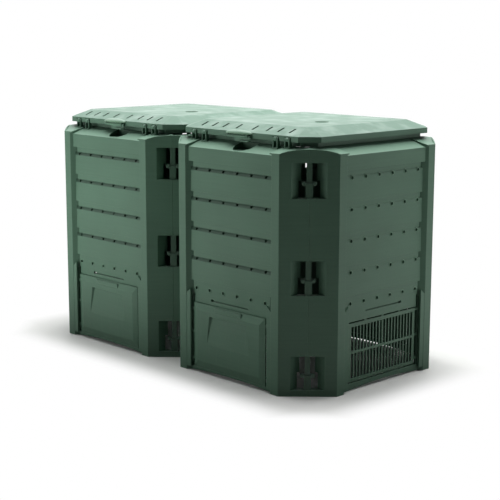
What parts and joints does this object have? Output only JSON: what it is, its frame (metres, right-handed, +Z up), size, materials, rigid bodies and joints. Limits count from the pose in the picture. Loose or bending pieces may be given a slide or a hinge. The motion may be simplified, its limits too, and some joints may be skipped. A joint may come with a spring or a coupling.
{
  "type": "compost bin with lid",
  "caption": "Twin eight-sided garden compost bin: clapboard wall panels held by corner clips, sliding hatch doors, vent grilles, and hinged lids with latches.",
  "frame": {"origin": "centre of the footprint at ground level, between the two chambers", "axes": "+X right along the front, +Y to the back, +Z up; doors and latches face -Y"},
  "size_m": [1.35, 0.719, 0.826],
  "materials": {
    "green_plastic": "moulded, satin",
    "pin_plastic": "moulded, satin"
  },
  "bodies": {
    "bin": {"wall_front_left": "green_plastic", "wall_front_right": "green_plastic", "wall_back_left": "green_plastic", "wall_back_right": "green_plastic", "wall_side_left": "green_plastic", "wall_side_right": "green_plastic", "wall_divider": "green_plastic", "vent_grille_side_left": "green_plastic", "vent_grille_side_right": "green_plastic", "corner_clips_front_outer_left": "green_plastic", "corner_clips_front_outer_right": "green_plastic", "corner_clips_front_inner_left": "green_plastic", "corner_clips_front_inner_right": "green_plastic", "corner_clips_back_outer_left": "green_plastic", "corner_clips_back_outer_right": "green_plastic", "corner_clips_back_inner_left": "green_plastic", "corner_clips_back_inner_right": "green_plastic", "hinge_brackets_front_left": "green_plastic", "hinge_brackets_front_right": "green_plastic", "hinge_brackets_back_left": "green_plastic", "hinge_brackets_back_right": "green_plastic", "hinge_pins_front_left": "pin_plastic", "hinge_pins_front_right": "pin_plastic", "hinge_pins_back_left": "pin_plastic", "hinge_pins_back_right": "pin_plastic"},
    "door_front_left": {"door_front_left": "green_plastic"},
    "door_back_left": {"door_back_left": "green_plastic"},
    "lid_left": {"lid_left": "green_plastic", "latch_pin_left": "pin_plastic"},
    "latch_left": {"latch_lever_left": "green_plastic"},
    "door_front_right": {"door_front_right": "green_plastic"},
    "door_back_right": {"door_back_right": "green_plastic"},
    "lid_right": {"lid_right": "green_plastic", "latch_pin_right": "pin_plastic"},
    "latch_right": {"latch_lever_right": "green_plastic"}
  },
  "joints": [
    {"name": "door_slide_front_left", "type": "slide", "parent": "bin", "child": "door_front_left", "axis": [0, 0, 1], "range_m": [0, 0.2]},
    {"name": "door_slide_back_left", "type": "slide", "parent": "bin", "child": "door_back_left", "axis": [0, 0, 1], "range_m": [0, 0.2]},
    {"name": "lid_hinge_left", "type": "hinge", "parent": "bin", "child": "lid_left", "pos_m": [-0.3155, 0.303, 0.79], "axis": [-1, 0, 0], "range_deg": [0, 100]},
    {"name": "latch_hinge_left", "type": "hinge", "parent": "lid_left", "child": "latch_left", "pos_m": [-0.3155, -0.3115, 0.789], "axis": [-1, 0, 0], "range_deg": [0, 30]},
    {"name": "door_slide_front_right", "type": "slide", "parent": "bin", "child": "door_front_right", "axis": [0, 0, 1], "range_m": [0, 0.2]},
    {"name": "door_slide_back_right", "type": "slide", "parent": "bin", "child": "door_back_right", "axis": [0, 0, 1], "range_m": [0, 0.2]},
    {"name": "lid_hinge_right", "type": "hinge", "parent": "bin", "child": "lid_right", "pos_m": [0.3155, 0.303, 0.79], "axis": [-1, 0, 0], "range_deg": [0, 100]},
    {"name": "latch_hinge_right", "type": "hinge", "parent": "lid_right", "child": "latch_right", "pos_m": [0.3155, -0.3115, 0.789], "axis": [-1, 0, 0], "range_deg": [0, 30]}
  ]
}
